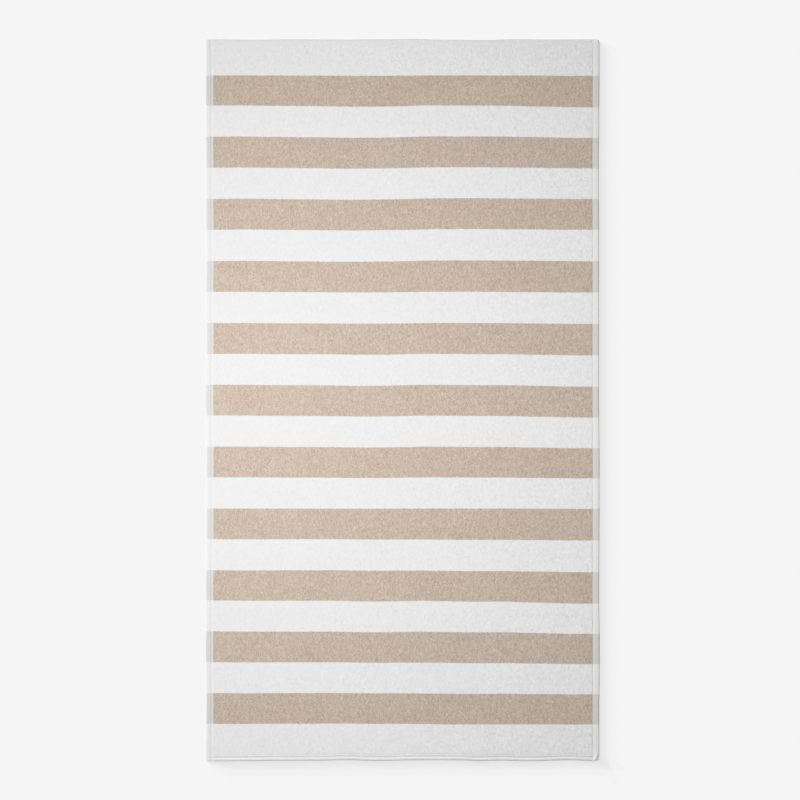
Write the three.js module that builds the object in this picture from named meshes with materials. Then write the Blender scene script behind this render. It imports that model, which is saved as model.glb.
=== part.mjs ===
// A beach towel lying flat: one panel of terry cloth with a turned hem on each of its four sides.
// Millimetres. +X runs across the towel, +Y along it and +Z up from the surface it lies on.
// The origin is at the middle of the underside.

import * as THREE from "three";

const WIDTH = 916; // between the side edges, on average
const LENGTH = 1682; // between the end edges, on average
const PILE_HEIGHT = 3.6; // top of the looped pile above the underside
const LEAST_HEIGHT = 1.3; // thinnest place, where two stitched hems cross
const COLUMN_STEP = 48; // widest gap between the columns of points across the pile
const ROW_STEP = 56; // widest gap between the rows of points along the pile
const WANDER_FADE = 12; // how fast a side edge's wander fades from the edge inwards
const CORNER_REACH = 6; // how fast a corner's rounding fades along its two edges
const CORNER_HUMP = 5; // how far in from both edges a corner's doubled hem stands highest

// Across a side hem, from the edge inwards: the hem, a bare strip beside it, and the wall of the pile.
const LEFT_SECTION = [
  { inset: 0, height: 1.3 },
  { inset: 1.3, height: 2.2 },
  { inset: 2.6, height: 2.5 },
  { inset: 9.9, height: 2.4 },
  { inset: 11.7, height: 1.6 },
  { inset: 14.4, height: 1.8 },
  { inset: 18.2, height: 3.5 },
  { inset: 22, height: PILE_HEIGHT },
];
const RIGHT_SECTION = [
  { inset: 0, height: 1.3 },
  { inset: 2.6, height: 2.45 },
  { inset: 5, height: 2.55 },
  { inset: 7.5, height: 2.6 },
  { inset: 9.5, height: 2.6 },
  { inset: 12, height: 2.35 },
  { inset: 14.6, height: 2.3 },
  { inset: 17.8, height: 3.5 },
  { inset: 22, height: PILE_HEIGHT },
];

// Across an end hem, from the edge inwards: a low roll, then the groove that its stitching presses in.
// The rise is added to the height that the side section gives. The foot is the -Y end.
const FOOT_SECTION = [
  { inset: 0, rise: -1.6 },
  { inset: 0.9, rise: -0.7 },
  { inset: 2.6, rise: -0.4 },
  { inset: 4.8, rise: 0 },
  { inset: 6.9, rise: -0.5 },
  { inset: 9, rise: -0.3 },
  { inset: 11, rise: -0.05 },
  { inset: 15, rise: 0 },
  { inset: 22, rise: 0 },
];
const HEAD_SECTION = [
  { inset: 0, rise: -2.3 },
  { inset: 1.2, rise: -1.3 },
  { inset: 2.4, rise: -0.3 },
  { inset: 3.6, rise: 0 },
  { inset: 5.6, rise: -0.1 },
  { inset: 8.2, rise: -0.4 },
  { inset: 11, rise: -0.1 },
  { inset: 15, rise: 0 },
  { inset: 22, rise: 0 },
];

// How far each edge wanders out of its straight line, at places along it from the towel's middle.
// A side edge's wander is mostly its hem's, and fades from the edge inwards.
const LEFT_WANDER = [
  { at: 800, out: 0.5 },
  { at: 700, out: 0.5 },
  { at: 560, out: -0.4 },
  { at: 400, out: -0.7 },
  { at: 330, out: -1.9 },
  { at: 240, out: 0.1 },
  { at: 140, out: -1.7 },
  { at: 0, out: 1.0 },
  { at: -80, out: -1.3 },
  { at: -350, out: -1.7 },
  { at: -430, out: 0.9 },
  { at: -500, out: -0.3 },
  { at: -575, out: 1.1 },
  { at: -700, out: -0.6 },
  { at: -810, out: 0.4 },
];
const RIGHT_WANDER = [
  { at: 810, out: 1.0 },
  { at: 640, out: 0.2 },
  { at: 560, out: -1.0 },
  { at: 440, out: -0.3 },
  { at: 0, out: -0.4 },
  { at: -140, out: 1.0 },
  { at: -230, out: 0.8 },
  { at: -290, out: 0.6 },
  { at: -400, out: 0.2 },
  { at: -460, out: -0.2 },
  { at: -550, out: 1.4 },
  { at: -640, out: 1.4 },
  { at: -720, out: 0.2 },
  { at: -830, out: 0.5 },
];
const TOP_WANDER = [
  { at: -426, out: -0.1 },
  { at: -356, out: -1.3 },
  { at: -251, out: 0.1 },
  { at: -146, out: -0.7 },
  { at: -65, out: -0.1 },
  { at: 22, out: 0.8 },
  { at: 110, out: -1.2 },
  { at: 196, out: -1.7 },
  { at: 255, out: 0.1 },
  { at: 343, out: -0.5 },
  { at: 437, out: 0 },
];
const BOTTOM_WANDER = [
  { at: -440, out: 1.8 },
  { at: -356, out: 0.9 },
  { at: -281, out: 0.3 },
  { at: -200, out: 0.1 },
  { at: -130, out: -1.5 },
  { at: -60, out: 0.7 },
  { at: 20, out: -0.9 },
  { at: 77, out: -1.2 },
  { at: 130, out: -1.0 },
  { at: 180, out: 1.0 },
  { at: 231, out: -0.2 },
  { at: 290, out: 1.5 },
  { at: 390, out: -1.2 },
  { at: 450, out: 1.3 },
];

// Each corner is drawn in a little by its folded hems, and one of them stands up where it is doubled.
const CORNERS = [
  { side: -1, end: 1, pull: 1.4, hump: 0 },
  { side: 1, end: 1, pull: 2.4, hump: 0 },
  { side: -1, end: -1, pull: 1.0, hump: 0.2 },
  { side: 1, end: -1, pull: 2.8, hump: 1.6 },
];

// Creases in the corners' folded hems, standing up or sunk in. Each runs from one place to another,
// which are given as [inset from the side, inset from the end], and spreads as far as its reach.
const CREASES = [
  { side: 1, end: -1, from: [12.9, 1.4], to: [4.2, 18], rise: 1.9, reach: 1.9 },
  { side: 1, end: -1, from: [2, 3], to: [2.2, 10], rise: -0.9, reach: 2.2 },
  { side: -1, end: 1, from: [10.4, 3], to: [10.2, 15], rise: -1.1, reach: 2 },
  { side: -1, end: 1, from: [5.4, 3], to: [6.6, 15], rise: 0.9, reach: 2.2 },
  { side: 1, end: 1, from: [4.2, 1], to: [3.6, 8], rise: 1, reach: 1.5 },
];

// The value in a column of a table at a place between its rows, eased smoothly from row to row.
function readTable(table, key, column, place) {
  const rows = [...table].sort((a, b) => a[key] - b[key]);
  const next = rows.findIndex((row) => row[key] >= place);
  if (next < 0) return rows[rows.length - 1][column];
  if (next === 0) return rows[0][column];
  const share = THREE.MathUtils.smoothstep(place, rows[next - 1][key], rows[next][key]);
  return THREE.MathUtils.lerp(rows[next - 1][column], rows[next][column], share);
}

// Places across a span from minus half to plus half: the insets of a section at each end, and even
// steps between.
function stationsAcross(span, lowSection, highSection, widestStep) {
  const low = lowSection.map((row) => -span / 2 + row.inset);
  const high = highSection.map((row) => span / 2 - row.inset).reverse();
  const start = low[low.length - 1];
  const reach = high[0] - start;
  const steps = Math.ceil(reach / widestStep);
  const between = Array.from({ length: steps - 1 }, (_, i) => start + (reach * (i + 1)) / steps);
  return [...low, ...between, ...high];
}

// The outline's wander and the drawn-in corners, applied to a point of the plain rectangle.
function placeInPlan(x, y) {
  const left = -readTable(LEFT_WANDER, "at", "out", y);
  const right = readTable(RIGHT_WANDER, "at", "out", y);
  const bottom = -readTable(BOTTOM_WANDER, "at", "out", x);
  const top = readTable(TOP_WANDER, "at", "out", x);
  const fade = (inset) => Math.exp(-inset / WANDER_FADE);
  const placed = new THREE.Vector2(
    x + left * fade(WIDTH / 2 + x) + right * fade(WIDTH / 2 - x),
    y + THREE.MathUtils.lerp(bottom, top, y / LENGTH + 0.5),
  );
  for (const corner of CORNERS) {
    const away = WIDTH / 2 - corner.side * x + (LENGTH / 2 - corner.end * y);
    const pull = corner.pull * Math.exp(-away / CORNER_REACH);
    placed.x -= corner.side * pull;
    placed.y -= corner.end * pull;
  }
  return placed;
}

// The height of the upper face above the underside, at a point of the plain rectangle.
function upperHeight(x, y) {
  const sideSection = x < 0 ? LEFT_SECTION : RIGHT_SECTION;
  const endSection = y < 0 ? FOOT_SECTION : HEAD_SECTION;
  let height = readTable(sideSection, "inset", "height", WIDTH / 2 - Math.abs(x));
  height += readTable(endSection, "inset", "rise", LENGTH / 2 - Math.abs(y));
  for (const corner of CORNERS) {
    const acrossHump = WIDTH / 2 - corner.side * x - CORNER_HUMP;
    const alongHump = LENGTH / 2 - corner.end * y - CORNER_HUMP;
    height += corner.hump * Math.exp(-(acrossHump ** 2 + alongHump ** 2) / CORNER_REACH ** 2);
  }
  for (const crease of CREASES) {
    const place = new THREE.Vector3(WIDTH / 2 - crease.side * x, LENGTH / 2 - crease.end * y, 0);
    const line = new THREE.Line3(new THREE.Vector3(...crease.from, 0), new THREE.Vector3(...crease.to, 0));
    const nearest = line.closestPointToPoint(place, true, new THREE.Vector3());
    height += crease.rise * Math.exp(-nearest.distanceToSquared(place) / crease.reach ** 2);
  }
  return Math.max(height, LEAST_HEIGHT);
}

// One closed skin: an upper and a lower grid of points that share the outermost ring.
function towelGeometry() {
  const xs = stationsAcross(WIDTH, LEFT_SECTION, RIGHT_SECTION, COLUMN_STEP);
  const ys = stationsAcross(LENGTH, FOOT_SECTION, HEAD_SECTION, ROW_STEP);
  const onRing = (i, j) => i === 0 || j === 0 || i === xs.length - 1 || j === ys.length - 1;
  const positions = [];
  const addPoint = (i, j, height) => {
    const plan = placeInPlan(xs[i], ys[j]);
    positions.push(plan.x, plan.y, height);
    return positions.length / 3 - 1;
  };

  const upper = ys.map((y, j) => xs.map((x, i) => addPoint(i, j, upperHeight(x, y))));
  const lower = ys.map((y, j) => xs.map((x, i) => (onRing(i, j) ? upper[j][i] : addPoint(i, j, 0))));

  // Each cell is cut along the diagonal that points at the nearest corner of the towel.
  const triangles = [];
  for (let j = 0; j < ys.length - 1; j++) {
    for (let i = 0; i < xs.length - 1; i++) {
      const turn = xs[i] + xs[i + 1] < 0 === ys[j] + ys[j + 1] < 0 ? 0 : 1;
      const cornersOf = (grid) => {
        const loop = [grid[j][i], grid[j][i + 1], grid[j + 1][i + 1], grid[j + 1][i]];
        return [...loop.slice(turn), ...loop.slice(0, turn)];
      };
      const [a, b, c, d] = cornersOf(upper);
      triangles.push(a, b, c, a, c, d);
      const [e, f, g, h] = cornersOf(lower);
      triangles.push(e, g, f, e, h, g);
    }
  }

  const geometry = new THREE.BufferGeometry();
  geometry.setAttribute("position", new THREE.Float32BufferAttribute(positions, 3));
  geometry.setIndex(triangles);
  const middle = new THREE.Vector3();
  geometry.computeBoundingBox();
  geometry.boundingBox.getCenter(middle);
  geometry.translate(-middle.x, -middle.y, 0);
  geometry.computeVertexNormals();
  return geometry;
}

const terryCloth = new THREE.MeshStandardMaterial({ color: 0xefece7, roughness: 0.95, metalness: 0 });
const towel = new THREE.Mesh(towelGeometry(), terryCloth);
towel.name = "towel";

const part = new THREE.Group();
part.add(towel);

export default part;
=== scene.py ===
"""The looks of a striped terry beach towel that lies flat: cloth, hems, looped pile and sewing.

The towel's lengths are in millimetres until a mesh is made, and the studio's in metres. +X runs
across the towel, +Y along it, +Z up. "Across" and "along" are a point's place in the plain rectangle
of cloth, before its edges wander. The foot is the -Y end and the head the +Y end. An inset is a
distance inwards from an edge.
"""

from collections import namedtuple

import bpy
import numpy as np
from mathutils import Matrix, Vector


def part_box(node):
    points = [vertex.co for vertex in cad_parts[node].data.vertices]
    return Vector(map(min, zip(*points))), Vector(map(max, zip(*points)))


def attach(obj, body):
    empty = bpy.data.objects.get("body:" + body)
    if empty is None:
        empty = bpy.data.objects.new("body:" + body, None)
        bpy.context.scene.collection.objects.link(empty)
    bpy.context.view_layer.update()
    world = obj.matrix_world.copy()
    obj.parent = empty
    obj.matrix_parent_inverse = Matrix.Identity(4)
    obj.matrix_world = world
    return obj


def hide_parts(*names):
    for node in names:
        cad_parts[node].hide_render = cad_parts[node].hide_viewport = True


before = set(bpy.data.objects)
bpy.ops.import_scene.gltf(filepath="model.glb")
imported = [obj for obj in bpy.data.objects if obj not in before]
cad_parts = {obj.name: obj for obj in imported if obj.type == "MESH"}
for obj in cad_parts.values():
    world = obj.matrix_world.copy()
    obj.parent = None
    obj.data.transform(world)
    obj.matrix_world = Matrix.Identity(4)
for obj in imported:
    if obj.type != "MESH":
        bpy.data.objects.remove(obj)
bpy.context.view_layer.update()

MM = 0.001
WIDTH = 916
LENGTH = 1682
LEAST_HEIGHT = 1.3  # of the cloth's upper face, to the top of the pile where there is one

# Across a side hem from the edge inwards: (inset, height).
LEFT_SECTION = [
    (0, 1.3), (1.3, 2.2), (2.6, 2.5), (9.9, 2.4), (11.7, 1.6), (14.4, 1.8), (18.2, 3.5), (22, 3.6),
]
RIGHT_SECTION = [
    (0, 1.3), (2.6, 2.45), (5, 2.55), (7.5, 2.6), (9.5, 2.6), (12, 2.35), (14.6, 2.3), (17.8, 3.5),
    (22, 3.6),
]
# Across an end hem from the edge inwards: (inset, rise over the side section's height).
FOOT_SECTION = [
    (0, -1.6), (0.9, -0.7), (2.6, -0.4), (4.8, 0), (6.9, -0.5), (9, -0.3), (11, -0.05), (15, 0),
]
HEAD_SECTION = [
    (0, -2.3), (1.2, -1.3), (2.4, -0.3), (3.6, 0), (5.6, -0.1), (8.2, -0.4), (11, -0.1), (15, 0),
]

# How far each edge wanders out of its straight line: (place along it, distance out). A side edge's
# wander is mostly its hem's, and fades over WANDER_FADE from the edge inwards. An end's wander fades
# evenly over the whole length.
WANDER_FADE = 12
LEFT_WANDER = [
    (800, 0.5), (700, 0.5), (560, -0.4), (400, -0.7), (330, -1.9), (240, 0.1), (140, -1.7), (0, 1.0),
    (-80, -1.3), (-350, -1.7), (-430, 0.9), (-500, -0.3), (-575, 1.1), (-700, -0.6), (-810, 0.4),
]
RIGHT_WANDER = [
    (810, 1.0), (640, 0.2), (560, -1.0), (440, -0.3), (0, -0.4), (-140, 1.0), (-230, 0.8),
    (-290, 0.6), (-400, 0.2), (-460, -0.2), (-550, 1.4), (-640, 1.4), (-720, 0.2), (-830, 0.5),
]
HEAD_WANDER = [
    (-426, -0.1), (-356, -1.3), (-251, 0.1), (-146, -0.7), (-65, -0.1), (22, 0.8), (110, -1.2),
    (196, -1.7), (255, 0.1), (343, -0.5), (437, 0),
]
FOOT_WANDER = [
    (-440, 1.8), (-356, 0.9), (-281, 0.3), (-200, 0.1), (-130, -1.5), (-60, 0.7), (20, -0.9),
    (77, -1.2), (130, -1.0), (180, 1.0), (231, -0.2), (290, 1.5), (390, -1.2), (450, 1.3),
]

# Side is -1 on the left and 1 on the right, and end is -1 at the foot and 1 at the head. A corner is
# drawn in by its pull, and stands higher by its hump where it is doubled.
Corner = namedtuple("Corner", "side end pull hump")
CORNERS = [
    Corner(-1, 1, 1.4, 0),
    Corner(1, 1, 2.4, 0),
    Corner(-1, -1, 1.0, 0.2),
    Corner(1, -1, 2.8, 1.6),
]
CORNER_REACH = 6
HUMP_INSET = 5  # of a hump's middle, from both edges

# Creases in the corners' hems, above or below them. Each runs from start to finish, both given as
# (inset from the side, inset from the end), and reaches this far to either side of its line.
Crease = namedtuple("Crease", "side end start finish rise reach")
CREASES = [
    Crease(1, -1, (12.9, 1.4), (4.2, 18), 1.9, 1.9),
    Crease(1, -1, (2.0, 3), (2.2, 10), -0.9, 2.2),
    Crease(-1, 1, (10.4, 3.0), (10.2, 15), -1.1, 2.0),
    Crease(-1, 1, (5.4, 3.0), (6.6, 15), 0.9, 2.2),
    Crease(1, 1, (4.2, 1.0), (3.6, 8), 1.0, 1.5),
]

# The stripes aren't quite straight or even. Drift is how far up (+Y) the weave lies from its true
# place: a mean along the towel, and two waves that are each (a shape along) x (a shape across).
MEAN_DRIFT = [
    (756, -0.4), (684, 0.5), (400, 0.4), (250, -1.0), (100, -2.0), (-60, -2.0), (-250, -1.1),
    (-400, -2.0), (-560, -1.0), (-684, 0), (-756, 0.9),
]
FIRST_WAVE_ALONG = [
    (755, 0.15), (685, 0.55), (540, 0.2), (430, 0), (300, 0.1), (0, 0.6), (-100, 0.55),
    (-250, 0.1), (-395, 0.6), (-470, 1.0), (-610, 0.6), (-755, 0.2),
]
FIRST_WAVE_ACROSS = [
    (-440, 2.5), (-310, 1.7), (-200, 1.2), (-65, -0.8), (50, 1.5), (180, 0.2), (235, 0.3),
    (310, -2.2), (405, -5.0),
]
SECOND_WAVE_ALONG = [
    (755, 0.2), (690, 0.7), (470, 1.0), (325, 0.85), (240, 0.35), (30, 0.3), (-180, 0.25),
    (-400, -0.55), (-540, -0.3), (-680, -0.6), (-755, -0.5),
]
SECOND_WAVE_ACROSS = [
    (-440, 0), (-375, 0.5), (-240, -1.0), (-130, -2.0), (-40, -1.1), (90, 1.3), (155, 1.7),
    (270, 0.9), (405, 0),
]

# The beige stripes are centred on the multiples of their pitch, one of them on the towel's middle.
STRIPE_COUNT = 11
STRIPE_PITCH = 144
STRIPE_HALF = 36
STRIPE_RAGGED = 3.2  # how far a stripe's edge strays
STRIPE_BLUR = 0.45  # half the width over which its colour gives way to the white

HEM_WIDTH = 10.6  # where a side hem's colour gives way to the bare strip's
PILE_START = 15.6  # from the side edge to the wall of the pile
COLOR_START = 16.5  # from the side edge to the first dyed loops
EDGE_BLUR = 0.5  # half the width over which each of these colours gives way to the next
GROUND_DEPTH = 1.3  # the cloth that the loops stand on, below the top of the pile
GROUND_LEAD = 0.8  # it starts to sink this far outside the wall of the pile
GROUND_RUN = 2.4  # and is at its full depth after this

# The lines of the cloth's grid near its edges, as insets, and their greatest spacing between.
LEFT_LINES = [0, 0.5, 1.3, 2.6, 4.4, 6.2, 8, 9.9, 10.8, 11.7, 13, 14.4, 15.6, 16.9, 18.2, 22]
RIGHT_LINES = [0, 0.6, 1.3, 2, 2.6, 3.8, 5, 7.5, 9.5, 10.8, 12, 14.6, 15.8, 16.8, 17.8, 22]
END_LINES = [0, 0.5, 0.9, 1.7, 2.6, 3.7, 4.8, 5.8, 6.9, 8, 9.5, 11, 13, 15, 20, 26]
GRID_STEP = 10
OUTLINE_POINTS = (200, 400)  # across and along, to find the outline's extent

# The loops of the pile. Uneven is the spread of a loop's height, here and further down.
PILE_CLEARANCE = 2.8  # from the wall of the pile to the outermost column
PILE_END_INSET = 18
LOOP_PITCH_ACROSS = 2.4
LOOP_PITCH_ALONG = 5.0
LOOP_HALF_WIDTH = 2.9
LOOP_HALF_LENGTH = 6.0
LOOP_UNEVEN = 0.05
LOOP_SINK = 0.4  # how deep a loop's feet reach into the ground
LEAST_FOOT_HEIGHT = 0.2
STAGGER = 0.25  # share of the pitch by which a column of loops is moved up, or the next one down

# How much the loops differ: in place, in size as a share of it, and in turn in radians.
STRAY_ACROSS = 0.28
STRAY_ALONG = 0.6
WIDTH_SPREAD = 0.15
LENGTH_SPREAD = 0.2
TURN_SPREAD = 0.36

# A loop's ridge, as shares of the loop's half size: its own half length, and how far it strays.
RIDGE_HALF = 0.4
RIDGE_STRAY_ALONG = 0.3
RIDGE_STRAY_ACROSS = 0.22
RIDGE_TILT = 0.5  # spread of one end's height against the other, as a share of uneven

# The loops at the side walls are narrow and stand close.
WALL_PITCH = 2.5
WALL_HALF_WIDTH = 0.9
WALL_CLEARANCE = 1.5

# The last loops before the end hems' stitching are short.
END_ROW_INSET = 12.4
END_HALF_LENGTH = 2.8
END_STRAY = 0.4

# The loops on the end hems' rolls are short and uneven, and pucker them.
HEM_ROW_INSETS = [3.1, 4.3, 5.4]
HEM_LEAST_INSET = 2.8
HEM_STRAY = 0.4
HEM_HALF_WIDTH = 3.3
HEM_HALF_LENGTH = 2.7
HEM_UNEVEN = 0.11

PILE_PIECES = ("pile_1", "pile_2", "pile_3", "pile_4")
# A loop's points are its left, lower, right and upper foot, then the lower and upper ridge end.
LOOP_SIDES = [[1, 2, 4], [2, 5, 4], [2, 3, 5], [3, 0, 5], [0, 4, 5], [0, 1, 4]]
LOOP_POINTS = 6
LOOP_FEET = 4

LEFT_STITCHING = 8.6  # inset of each line of stitches
RIGHT_STITCHING = 5.6
END_STITCHING = 9
SIDE_RUN_INSET = 5  # from the towel's end to the first stitch along a side
END_RUN_INSET = 3  # from the towel's side to the first stitch along an end
STITCH_PITCH = 4.2
STITCH_LENGTH = 3.0
STITCH_HALF_WIDTH = 0.32
STITCH_RISE = 0.28
STITCH_STRAY = 0.15
STITCH_ARCH = [-0.3, 0.75, 1.0, 0.75, -0.3]  # shares of the rise, from end to end
STITCH_TURNS = [0, 60, 120, 180]  # degrees, round the thread
STITCH_SIDE_LIFT = 0.35  # share of the rise that the thread's sides have

# The maps that the colours are baked on: their scale in map widths a metre, and where the middles
# of the cloth's upper and lower face lie.
CLOTH_MAP_SCALE = 0.53
PILE_MAP_SCALE = 1.05
UPPER_MAP_MIDDLE = (0.25, 0.5)
LOWER_MAP_MIDDLE = (0.75, 0.5)

WHITE_PILE = (0.85, 0.85, 0.85, 1)
BEIGE_PILE_DARK = (0.401, 0.292, 0.22, 1)
BEIGE_PILE_LIGHT = (0.726, 0.624, 0.525, 1)
WHITE_HEM = (0.84, 0.84, 0.835, 1)
BEIGE_HEM = (0.673, 0.655, 0.635, 1)
WHITE_STRIP = (0.855, 0.853, 0.84, 1)
BEIGE_STRIP = (0.675, 0.655, 0.63, 1)
THREAD = (0.8, 0.8, 0.795, 1)
FLOOR = (0.9, 0.9, 0.9, 1)

# Noise over the weave: scale in 1/mm across and along, and the jump from loop to loop.
STRAY_NOISE = (0.45, 0.45, 3.0)
GRAIN_NOISE = (0.6, 0.28, 4.0)
PATCH_NOISE = (0.009, 0.012, 0)
COARSE_NOISE = (0.19, 0.1, 0)
HEM_NOISE = (0.3, 0.11, 0)
YARN_NOISE = (1.3, 0.9, 0)
PUCKER_NOISE = (0.16, 0.1, 0)

# How far noise and the loop's own random number move the beige's tone and the other brightnesses.
BEIGE_GRAIN, BEIGE_PATCHES, BEIGE_OWN = 1.48, 0.13, 0.32
WHITE_GRAIN, WHITE_COARSE, WHITE_OWN = 0.04, 0.12, 0.02
HEM_SWING = 0.12

BUMP_STRENGTH = 0.5
BUMP_DEPTH = 0.4
PUCKER_SHARE = 2.0  # how high the bare cloth's puckers are, against its yarn

# The lamps. A sun's brightness is what it gives a level surface, and its angles are in degrees.
Sun = namedtuple("Sun", "name brightness azimuth elevation disc")
SOFTBOX_POWER = 23.9
SOFTBOX_SIZE = 0.8
SOFTBOX_AT = (-0.754, 0.137, 1.444)
SOFTBOX_AIM = (1.3, -0.465, 0)
TOWEL_SUN = Sun("window", 0.143, 140, 30, 20)
FLOOR_SUNS = [
    Sun("overhead", 0.579, 90, 89, 10),
    Sun("low_left", 0.07, 156, 3.5, 2.0),
    Sun("low_right", 0.07, 130, 3.5, 2.0),
    Sun("middle", 0.088, 143, 6.3, 3.6),
    Sun("high", 0.064, 143, 13, 10),
]
SUN_DISTANCE = 5
SKY_STRENGTH = 0.3
FLOOR_SIZE = 120

# The curve of the view's tones: (brightness, what it becomes).
TONE_POINTS = [(0.65, 0.65), (0.8, 0.78), (0.9, 0.842)]
TONE_TOP = (1.0, 0.89)

LENS = 85  # this and the sensor are in millimetres
SENSOR_WIDTH = 36
VIEW_WIDTH = 1.865  # of the floor that the camera sees
CAMERA_PLACE = (-0.0065, 0.0003)

rng = np.random.default_rng(7)


def eased(rows, places):
    """A table read at these places, eased smoothly from row to row and constant beyond its ends."""
    rows = np.array(sorted(rows), float)
    places = np.clip(places, rows[0, 0], rows[-1, 0])
    row = np.clip(np.searchsorted(rows[:, 0], places) - 1, 0, len(rows) - 2)
    share = (places - rows[row, 0]) / (rows[row + 1, 0] - rows[row, 0])
    share = share * share * (3 - 2 * share)
    return rows[row, 1] + share * (rows[row + 1, 1] - rows[row, 1])


def in_plan(across, along):
    """Where a point of the plain rectangle lies, once the edges wander and the corners are drawn in."""
    left, right = eased(LEFT_WANDER, along), eased(RIGHT_WANDER, along)
    foot, head = -eased(FOOT_WANDER, across), eased(HEAD_WANDER, across)
    x = across - left * np.exp(-(WIDTH / 2 + across) / WANDER_FADE)
    x = x + right * np.exp(-(WIDTH / 2 - across) / WANDER_FADE)
    y = along + foot + (head - foot) * (along / LENGTH + 0.5)
    for corner in CORNERS:
        away = WIDTH / 2 - corner.side * across + LENGTH / 2 - corner.end * along
        drawn = corner.pull * np.exp(-away / CORNER_REACH)
        x = x - corner.side * drawn
        y = y - corner.end * drawn
    return x, y


def crease_rise(crease, across, along):
    """How much one crease lifts the cloth: most on its line, and less to either side."""
    start = crease.start
    from_side = WIDTH / 2 - crease.side * across
    from_end = LENGTH / 2 - crease.end * along
    place = np.stack([from_side - start[0], from_end - start[1]], axis=-1)
    run = np.array(crease.finish, float) - start
    share = np.clip(place @ run / (run @ run), 0, 1)
    off = place - share[..., None] * run
    return crease.rise * np.exp(-(off**2).sum(-1) / crease.reach**2)


def upper_height(across, along):
    """Height of the cloth's upper face, to the top of the pile where there is one."""
    height = np.minimum(
        eased(LEFT_SECTION, WIDTH / 2 + across), eased(RIGHT_SECTION, WIDTH / 2 - across)
    )
    height = height + eased(FOOT_SECTION, LENGTH / 2 + along)
    height = height + eased(HEAD_SECTION, LENGTH / 2 - along)
    for corner in CORNERS:
        dx = WIDTH / 2 - corner.side * across - HUMP_INSET
        dy = LENGTH / 2 - corner.end * along - HUMP_INSET
        height = height + corner.hump * np.exp(-(dx**2 + dy**2) / CORNER_REACH**2)
    for crease in CREASES:
        height = height + crease_rise(crease, across, along)
    return np.maximum(height, LEAST_HEIGHT)


def in_pile(across):
    """1 where loops stand, 0 on the side hems and the bare strips beside them."""
    inset = WIDTH / 2 - np.abs(across)
    return np.clip((inset - PILE_START + GROUND_LEAD) / GROUND_RUN, 0, 1)


def ground_height(across, along):
    """Height of the woven ground that the loops stand on, and of the bare cloth elsewhere."""
    return upper_height(across, along) - GROUND_DEPTH * in_pile(across)


def woven_place(across, x, y):
    """A point's place in the weave: across, and along before the cloth's drift."""
    drift = eased(MEAN_DRIFT, y)
    drift = drift + eased(FIRST_WAVE_ALONG, y) * eased(FIRST_WAVE_ACROSS, x)
    drift = drift + eased(SECOND_WAVE_ALONG, y) * eased(SECOND_WAVE_ACROSS, x)
    return np.stack([across, y - drift, np.zeros_like(across)], axis=-1)


def shift_to_cad():
    """From the CAD towel's middle to the middle of the outline built here, in plan."""
    across, along = np.meshgrid(
        np.linspace(-WIDTH / 2, WIDTH / 2, OUTLINE_POINTS[0]),
        np.linspace(-LENGTH / 2, LENGTH / 2, OUTLINE_POINTS[1]),
    )
    x, y = in_plan(across, along)
    low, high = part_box("towel")
    return np.array([
        (x.min() + x.max()) / 2 - (low.x + high.x) / 2 / MM,
        (y.min() + y.max()) / 2 - (low.y + high.y) / 2 / MM,
    ])


def new_piece(name, points, faces, weave, bake_map, material):
    """A joined mesh from arrays: points in mm, faces as rows of indices, one map place per corner."""
    mesh = bpy.data.meshes.new(name)
    mesh.vertices.add(len(points))
    mesh.vertices.foreach_set("co", (points * MM).ravel())
    mesh.loops.add(faces.size)
    mesh.loops.foreach_set("vertex_index", faces.ravel())
    mesh.polygons.add(len(faces))
    mesh.polygons.foreach_set("loop_start", np.arange(len(faces)) * faces.shape[1])
    mesh.update(calc_edges=True)
    mesh.shade_smooth()
    mesh.attributes.new("weave", "FLOAT_VECTOR", "POINT").data.foreach_set("vector", weave.ravel())
    layer = mesh.uv_layers.new(name="OFBake", do_init=False)
    layer.data.foreach_set("uv", bake_map.ravel())
    mesh.materials.append(material)
    piece = bpy.data.objects.new(name, mesh)
    bpy.context.scene.collection.objects.link(piece)
    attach(piece, "root")
    return piece


def stations(span, low_insets, high_insets):
    """Places across a span: insets from its low and its high end, and even steps between."""
    low = -span / 2 + np.array(low_insets, float)
    high = span / 2 - np.array(high_insets, float)[::-1]
    steps = int(np.ceil((high[0] - low[-1]) / GRID_STEP))
    between = np.linspace(low[-1], high[0], steps + 1)
    return np.concatenate([low, between[1:-1], high])


def grid_cells(grid):
    """The four corners of each cell of a grid of indices, in turn round the cell."""
    corners = [grid[:-1, :-1], grid[:-1, 1:], grid[1:, 1:], grid[1:, :-1]]
    return np.stack(corners, axis=-1).reshape(-1, 4)


def make_cloth(material, shift):
    """The closed cloth: an upper and a lower grid of points that share the outermost ring."""
    across, along = np.meshgrid(
        stations(WIDTH, LEFT_LINES, RIGHT_LINES), stations(LENGTH, END_LINES, END_LINES)
    )
    rows, columns = across.shape
    ring = np.zeros(across.shape, bool)
    ring[[0, -1], :] = ring[:, [0, -1]] = True
    x, y = in_plan(across, along)
    z = ground_height(across, along)
    weave = woven_place(across, x, y)
    upper = np.arange(rows * columns).reshape(rows, columns)
    lower = upper.copy()
    lower[~ring] = rows * columns + np.arange((~ring).sum())
    points = np.concatenate([
        np.stack([x, y, z], axis=-1).reshape(-1, 3),
        np.stack([x[~ring], y[~ring], np.zeros((~ring).sum())], axis=-1),
    ])
    points[:, :2] -= shift
    weave = np.concatenate([weave.reshape(-1, 3), weave[~ring]])
    top_faces = grid_cells(upper)
    faces = np.concatenate([top_faces, grid_cells(lower)[:, ::-1]])
    places = points[faces.ravel(), :2] * MM * CLOTH_MAP_SCALE
    places[: top_faces.size] += UPPER_MAP_MIDDLE
    places[top_faces.size :] += LOWER_MAP_MIDDLE
    return new_piece("cloth", points, faces, weave, places, material)


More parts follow.
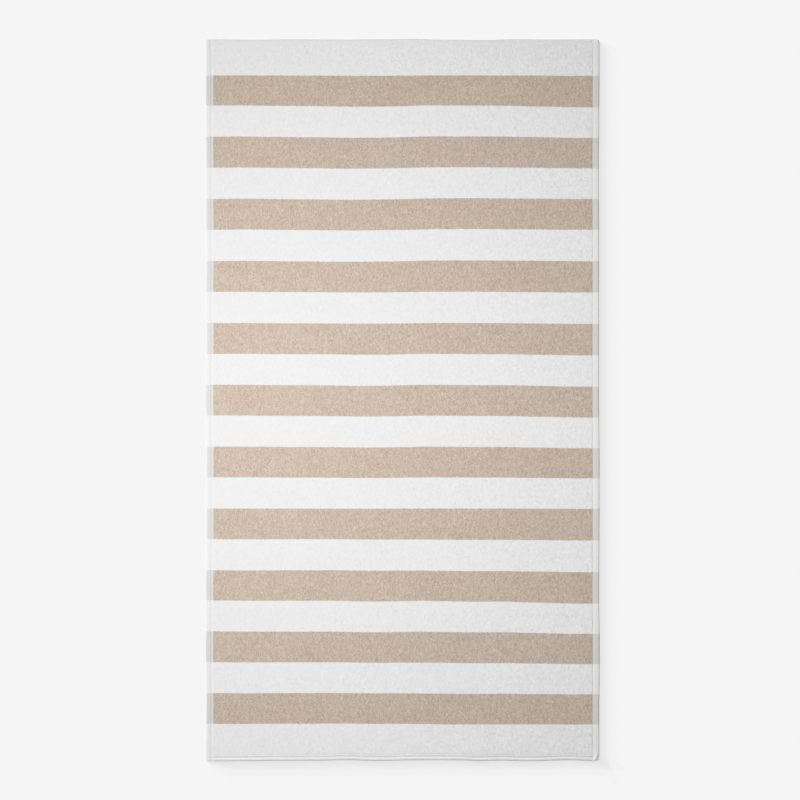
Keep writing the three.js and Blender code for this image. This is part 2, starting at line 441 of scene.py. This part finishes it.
def loop_rows(across, along, half_width, half_length, uneven):
    """One row a loop: its middle, half its size both ways, and the spread of its height."""
    across, along = np.broadcast_arrays(across, along)
    rest = np.broadcast_to([half_width, half_length, uneven], (across.size, 3))
    return np.column_stack([across.ravel(), along.ravel(), rest])


def loop_places():
    """The pile's loops in loose columns, others at its walls and ends, and rows on the end hems."""
    reach = WIDTH / 2 - PILE_START - PILE_CLEARANCE
    columns = np.linspace(-reach, reach, int(2 * reach / LOOP_PITCH_ACROSS))
    end = LENGTH / 2 - PILE_END_INSET
    across, along = np.meshgrid(columns, np.linspace(-end, end, int(2 * end / LOOP_PITCH_ALONG)))
    along = along + np.where(np.arange(len(columns)) % 2, STAGGER, -STAGGER) * LOOP_PITCH_ALONG
    along = along + rng.normal(0, STRAY_ALONG, along.shape)
    pile = loop_rows(across, along, LOOP_HALF_WIDTH, LOOP_HALF_LENGTH, LOOP_UNEVEN)

    end = LENGTH / 2 - END_ROW_INSET
    across, along = np.meshgrid(columns, [-end, end])
    along = along + rng.normal(0, END_STRAY, along.shape)
    ends = loop_rows(across, along, LOOP_HALF_WIDTH, END_HALF_LENGTH, LOOP_UNEVEN)

    wall = WIDTH / 2 - PILE_START - WALL_CLEARANCE
    across, along = np.meshgrid([-wall, wall], np.arange(-end, end, WALL_PITCH))
    walls = loop_rows(across, along, WALL_HALF_WIDTH, LOOP_HALF_LENGTH, LOOP_UNEVEN)

    across, inset = np.meshgrid(columns, HEM_ROW_INSETS * 2)
    inset = np.maximum(inset + rng.normal(0, HEM_STRAY, inset.shape), HEM_LEAST_INSET)
    end = np.repeat([1, -1], len(HEM_ROW_INSETS))[:, None]
    hems = loop_rows(
        across, end * (LENGTH / 2 - inset), HEM_HALF_WIDTH, HEM_HALF_LENGTH, HEM_UNEVEN
    )
    return np.concatenate([pile, ends, walls, hems])


def loop_plans(loops):
    """Each loop's points, as places across and along: its feet in a rhombus, then its ridge."""
    count = len(loops)
    centre = loops[:, :2] + rng.normal(0, STRAY_ACROSS, (count, 1)) * (1, 0)
    half_width = (loops[:, 2] * rng.uniform(1 - WIDTH_SPREAD, 1 + WIDTH_SPREAD, count))[:, None]
    half_length = (loops[:, 3] * rng.uniform(1 - LENGTH_SPREAD, 1 + LENGTH_SPREAD, count))[:, None]
    turn = rng.normal(0, TURN_SPREAD, count) * np.minimum(1, loops[:, 2] / LOOP_HALF_WIDTH)
    aside = np.stack([np.cos(turn), np.sin(turn)], axis=-1) * half_width
    ahead = np.stack([-np.sin(turn), np.cos(turn)], axis=-1) * half_length
    ridge = centre + ahead * rng.uniform(-RIDGE_STRAY_ALONG, RIDGE_STRAY_ALONG, (count, 1))
    ridge = ridge + aside * rng.uniform(-RIDGE_STRAY_ACROSS, RIDGE_STRAY_ACROSS, (count, 1))
    feet = [centre - aside, centre - ahead, centre + aside, centre + ahead]
    return np.stack([*feet, ridge - RIDGE_HALF * ahead, ridge + RIDGE_HALF * ahead], axis=1)


def make_pile(material, shift):
    """The loops: low leaning ridges with six faces each, in a few joined meshes."""
    loops = loop_places()
    count = len(loops)
    plans = loop_plans(loops)
    across, along = plans[..., 0], plans[..., 1]
    x, y = in_plan(across, along)
    z = np.maximum(ground_height(across, along) - LOOP_SINK, LEAST_FOOT_HEIGHT)
    z[:, LOOP_FEET:] = upper_height(across[:, LOOP_FEET:], along[:, LOOP_FEET:])
    uneven = loops[:, 4, None]
    rise = rng.normal(0, uneven, (count, 1))
    z[:, LOOP_FEET:] += rise + rng.normal(0, RIDGE_TILT * uneven, (count, 2))
    weave = woven_place(across, x, y)
    weave[..., 2] = rng.uniform(0, 1, (count, 1))
    points = np.stack([x, y, z], axis=-1)
    points[..., :2] -= shift
    order = np.argsort(loops[:, 1], kind="stable")
    pieces = []
    for name, share in zip(PILE_PIECES, np.array_split(order, len(PILE_PIECES))):
        own_points = points[share].reshape(-1, 3)
        own_weave = weave[share].reshape(-1, 3)
        first = np.arange(len(share))[:, None, None] * LOOP_POINTS
        own_faces = (first + np.array(LOOP_SIDES)).reshape(-1, 3)
        places = own_points[own_faces.ravel(), :2] * MM
        places = (places - (places.min(0) + places.max(0)) / 2) * PILE_MAP_SCALE + 0.5
        pieces.append(new_piece(name, own_points, own_faces, own_weave, places, material))
    return pieces


def stitch_lines():
    """For each hem: the middles of its stitches, and whether they run along the towel."""
    along = np.arange(SIDE_RUN_INSET - LENGTH / 2, LENGTH / 2 - SIDE_RUN_INSET, STITCH_PITCH)
    across = np.arange(END_RUN_INSET - WIDTH / 2, WIDTH / 2 - END_RUN_INSET, STITCH_PITCH)
    return [
        (np.full_like(along, LEFT_STITCHING - WIDTH / 2), along, True),
        (np.full_like(along, WIDTH / 2 - RIGHT_STITCHING), along, True),
        (across, np.full_like(across, END_STITCHING - LENGTH / 2), False),
        (across, np.full_like(across, LENGTH / 2 - END_STITCHING), False),
    ]


def make_stitches(material, shift):
    """Thread along every hem: a short raised stitch, a gap, and so on."""
    steps, turns = len(STITCH_ARCH), len(STITCH_TURNS)
    round_thread = np.radians(STITCH_TURNS)
    lengthways = np.repeat(np.linspace(-0.5, 0.5, steps) * STITCH_LENGTH, turns)
    sideways = np.tile(np.cos(round_thread) * STITCH_HALF_WIDTH, steps)
    over_sides = STITCH_SIDE_LIFT + (1 - STITCH_SIDE_LIFT) * np.tile(np.sin(round_thread), steps)
    lift = np.repeat(STITCH_ARCH, turns) * STITCH_RISE * over_sides
    strip = grid_cells(np.arange(steps * turns).reshape(steps, turns))
    points, weave, faces, start = [], [], [], 0
    for across, along, runs_along in stitch_lines():
        count = len(across)
        across = (across + rng.normal(0, STITCH_STRAY, count))[:, None]
        along = (along + rng.normal(0, STITCH_STRAY, count))[:, None]
        own = (sideways, lengthways) if runs_along else (lengthways, sideways)
        x, y = in_plan(across + own[0], along + own[1])
        z = ground_height(across, along) + lift
        points.append(np.stack([x, y, z], axis=-1).reshape(-1, 3))
        weave.append(woven_place(across + own[0], x, y).reshape(-1, 3))
        cell = strip if runs_along else strip[:, ::-1]
        first = np.arange(count)[:, None, None] * steps * turns + start
        faces.append((first + cell).reshape(-1, 4))
        start += count * steps * turns
    points, weave, faces = np.concatenate(points), np.concatenate(weave), np.concatenate(faces)
    points[:, :2] -= shift
    places = points[faces.ravel(), :2] * MM * CLOTH_MAP_SCALE + 0.5
    return new_piece("hem_stitches", points, faces, weave, places, material)


class Nodes:
    """Short ways to add nodes to a material."""

    def __init__(self, tree):
        self.tree = tree

    def add(self, kind, **settings):
        node = self.tree.nodes.new(kind)
        for key, value in settings.items():
            setattr(node, key, value)
        return node

    def put(self, socket, value):
        """Feeds a socket from another node's socket, or gives it a value."""
        if isinstance(value, bpy.types.NodeSocket):
            self.tree.links.new(value, socket)
        else:
            socket.default_value = value

    def math(self, operation, *values):
        node = self.add("ShaderNodeMath", operation=operation)
        for socket, value in zip(node.inputs, values):
            self.put(socket, value)
        return node.outputs[0]

    def swing(self, value, amount, base):
        """The base, moved by how far a value from 0 to 1 is off its middle."""
        return self.math("MULTIPLY_ADD", self.math("SUBTRACT", value, 0.5), amount, base)

    def ramp(self, value, low, high):
        """0 at low, 1 at high, even between and held beyond; low may be the larger."""
        node = self.add("ShaderNodeMapRange", clamp=True)
        for name, given in (("Value", value), ("From Min", low), ("From Max", high)):
            self.put(node.inputs[name], given)
        return node.outputs[0]

    def mix(self, share, first, second, blend="MIX"):
        node = self.add("ShaderNodeMix", data_type="RGBA", blend_type=blend)
        factor, color_a, color_b = node.inputs[0], node.inputs[6], node.inputs[7]
        for socket, value in ((factor, share), (color_a, first), (color_b, second)):
            self.put(socket, value)
        return node.outputs[2]

    def shaded(self, color, amount):
        """The colour, brighter or darker by this factor."""
        grey = self.add("ShaderNodeCombineXYZ")
        for socket in grey.inputs:
            self.put(socket, amount)
        return self.mix(1.0, color, grey.outputs[0], blend="MULTIPLY")

    def noise(self, place, scales, detail=2.0):
        scaled = self.add("ShaderNodeVectorMath", operation="MULTIPLY")
        self.put(scaled.inputs[0], place)
        scaled.inputs[1].default_value = scales
        node = self.add("ShaderNodeTexNoise")
        self.put(node.inputs["Vector"], scaled.outputs[0])
        node.inputs["Scale"].default_value = 1.0
        node.inputs["Detail"].default_value = detail
        return node.outputs["Fac"]


def stripe_share(nodes, weave, along):
    """1 on a beige stripe and 0 between, with ragged edges, and 0 past the last stripe."""
    from_middle = nodes.math("PINGPONG", along, STRIPE_PITCH / 2)
    stray = nodes.noise(weave, STRAY_NOISE, 1.0)
    ragged = nodes.math("MULTIPLY_ADD", stray, STRIPE_RAGGED, from_middle)
    edge = STRIPE_HALF + STRIPE_RAGGED / 2
    stripe = nodes.ramp(ragged, edge + STRIPE_BLUR, edge - STRIPE_BLUR)
    striped_half = STRIPE_COUNT / 2 * STRIPE_PITCH
    on_stripes = nodes.math("LESS_THAN", nodes.math("ABSOLUTE", along), striped_half)
    return nodes.math("MULTIPLY", stripe, on_stripes)


def pile_color(nodes, weave, own, stripe):
    """The loops' colour: mottled beige, and white that is nearly even."""
    grain = nodes.noise(weave, GRAIN_NOISE, 1.0)
    tone = nodes.swing(grain, BEIGE_GRAIN, 0.5)
    tone = nodes.swing(nodes.noise(weave, PATCH_NOISE), BEIGE_PATCHES, tone)
    tone = nodes.swing(own, BEIGE_OWN, tone)
    beige = nodes.mix(tone, BEIGE_PILE_DARK, BEIGE_PILE_LIGHT)
    shade = nodes.swing(grain, WHITE_GRAIN, 1.0)
    shade = nodes.swing(nodes.noise(weave, COARSE_NOISE, 1.0), WHITE_COARSE, shade)
    shade = nodes.swing(own, WHITE_OWN, shade)
    return nodes.mix(stripe, nodes.shaded(WHITE_PILE, shade), beige)


def bare_color(nodes, weave, inset, stripe):
    """The colour of the side hems and of the bare strips beside them."""
    hem = nodes.mix(stripe, WHITE_HEM, BEIGE_HEM)
    strip = nodes.mix(stripe, WHITE_STRIP, BEIGE_STRIP)
    on_strip = nodes.ramp(inset, HEM_WIDTH - EDGE_BLUR, HEM_WIDTH + EDGE_BLUR)
    shade = nodes.swing(nodes.noise(weave, HEM_NOISE), HEM_SWING, 1.0)
    return nodes.shaded(nodes.mix(on_strip, hem, strip), shade)


def yarn_bump(nodes, weave, on_pile):
    """The yarn's fine relief, and low puckers on the bare cloth."""
    bump = nodes.add("ShaderNodeBump")
    bump.inputs["Strength"].default_value = BUMP_STRENGTH
    bump.inputs["Distance"].default_value = BUMP_DEPTH * MM
    yarn = nodes.noise(weave, YARN_NOISE)
    off_pile = nodes.math("SUBTRACT", 1.0, on_pile)
    puckers = nodes.math("MULTIPLY", nodes.noise(weave, PUCKER_NOISE, 1.0), off_pile)
    nodes.put(bump.inputs["Height"], nodes.math("MULTIPLY_ADD", puckers, PUCKER_SHARE, yarn))
    return bump.outputs[0]


def terry_material():
    """Striped terry, painted by each point's place in the weave."""
    material = bpy.data.materials.new("terry")
    material.use_nodes = True
    nodes = Nodes(material.node_tree)
    shader = material.node_tree.nodes["Principled BSDF"]
    shader.inputs["Roughness"].default_value = 0.95
    shader.inputs["Specular IOR Level"].default_value = 0.2
    shader.inputs["Sheen Weight"].default_value = 0.15
    shader.inputs["Sheen Roughness"].default_value = 0.6

    weave = nodes.add("ShaderNodeAttribute", attribute_name="weave").outputs["Vector"]
    split = nodes.add("ShaderNodeSeparateXYZ")
    nodes.put(split.inputs[0], weave)
    across, along, own = split.outputs
    inset = nodes.math("SUBTRACT", WIDTH / 2, nodes.math("ABSOLUTE", across))
    on_pile = nodes.ramp(inset, COLOR_START - EDGE_BLUR, COLOR_START + EDGE_BLUR)
    stripe = stripe_share(nodes, weave, along)
    bare = bare_color(nodes, weave, inset, stripe)
    pile = pile_color(nodes, weave, own, stripe)
    nodes.put(shader.inputs["Base Color"], nodes.mix(on_pile, bare, pile))
    nodes.put(shader.inputs["Normal"], yarn_bump(nodes, weave, on_pile))
    return material


def plain_material(name, color, roughness):
    """One colour without gloss."""
    material = bpy.data.materials.new(name)
    material.use_nodes = True
    shader = material.node_tree.nodes["Principled BSDF"]
    shader.inputs["Base Color"].default_value = color
    shader.inputs["Roughness"].default_value = roughness
    shader.inputs["Specular IOR Level"].default_value = 0.0
    return material


def group(name, objects):
    """A collection that only says which objects a lamp lights."""
    collection = bpy.data.collections.new(name)
    for member in objects:
        collection.objects.link(member)
    return collection


def add_lamp(name, kind, energy, lit, at, target, **settings):
    """A lamp that stands at one point, shines towards another, and lights one group alone."""
    data = bpy.data.lights.new(name, kind)
    data.energy = energy
    for key, value in settings.items():
        setattr(data, key, value)
    lamp = bpy.data.objects.new(name, data)
    bpy.context.scene.collection.objects.link(lamp)
    lamp.location = at
    lamp.rotation_euler = (Vector(target) - lamp.location).to_track_quat("-Z", "Y").to_euler()
    lamp.light_linking.receiver_collection = lit


def add_sun(sun, lit):
    """A far lamp from this side and height."""
    azimuth, elevation = np.radians(sun.azimuth), np.radians(sun.elevation)
    level = np.cos(elevation)
    way = Vector((np.cos(azimuth) * level, np.sin(azimuth) * level, np.sin(elevation)))
    energy = sun.brightness * np.pi / np.sin(elevation)
    disc = np.radians(sun.disc)
    add_lamp(sun.name, "SUN", energy, lit, way * SUN_DISTANCE, (0, 0, 0), angle=disc)


def make_studio(towel_pieces):
    """A white floor, a white sky, and lamps of their own for the towel and for the floor."""
    bpy.ops.mesh.primitive_plane_add(size=FLOOR_SIZE)
    floor = bpy.context.object
    floor.name = "floor"
    floor.data.materials.append(plain_material("floor", FLOOR, 1.0))

    world = bpy.data.worlds.new("studio")
    bpy.context.scene.world = world
    world.use_nodes = True
    sky = world.node_tree.nodes["Background"]
    sky.inputs["Color"].default_value = (1, 1, 1, 1)
    sky.inputs["Strength"].default_value = SKY_STRENGTH

    towel_only = group("lit_towel", towel_pieces)
    floor_only = group("lit_floor", [floor])
    add_lamp(
        "softbox", "AREA", SOFTBOX_POWER, towel_only, SOFTBOX_AT, SOFTBOX_AIM,
        shape="DISK", size=SOFTBOX_SIZE,
    )
    add_sun(TOWEL_SUN, towel_only)
    for sun in FLOOR_SUNS:
        add_sun(sun, floor_only)


def set_tones():
    """Bright tones rise more slowly than the rest, as they do in the photo."""
    settings = bpy.context.scene.view_settings
    settings.view_transform = "Standard"
    settings.use_curve_mapping = True
    mapping = settings.curve_mapping
    curve = mapping.curves[3]
    curve.points[-1].location = TONE_TOP
    for at, value in TONE_POINTS:
        curve.points.new(at, value)
    mapping.extend = "EXTRAPOLATED"
    mapping.update()


def make_camera():
    """A camera straight above the towel."""
    data = bpy.data.cameras.new("camera")
    data.lens = LENS
    data.sensor_width = SENSOR_WIDTH
    camera = bpy.data.objects.new("camera", data)
    camera.location = (*CAMERA_PLACE, VIEW_WIDTH * data.lens / data.sensor_width)
    bpy.context.scene.collection.objects.link(camera)
    bpy.context.scene.camera = camera


terry = terry_material()
shift = shift_to_cad()
cloth = make_cloth(terry, shift)
pile = make_pile(terry, shift)
stitches = make_stitches(plain_material("thread", THREAD, 0.7), shift)
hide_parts("towel")
make_studio([cloth, *pile, stitches])
set_tones()
make_camera()
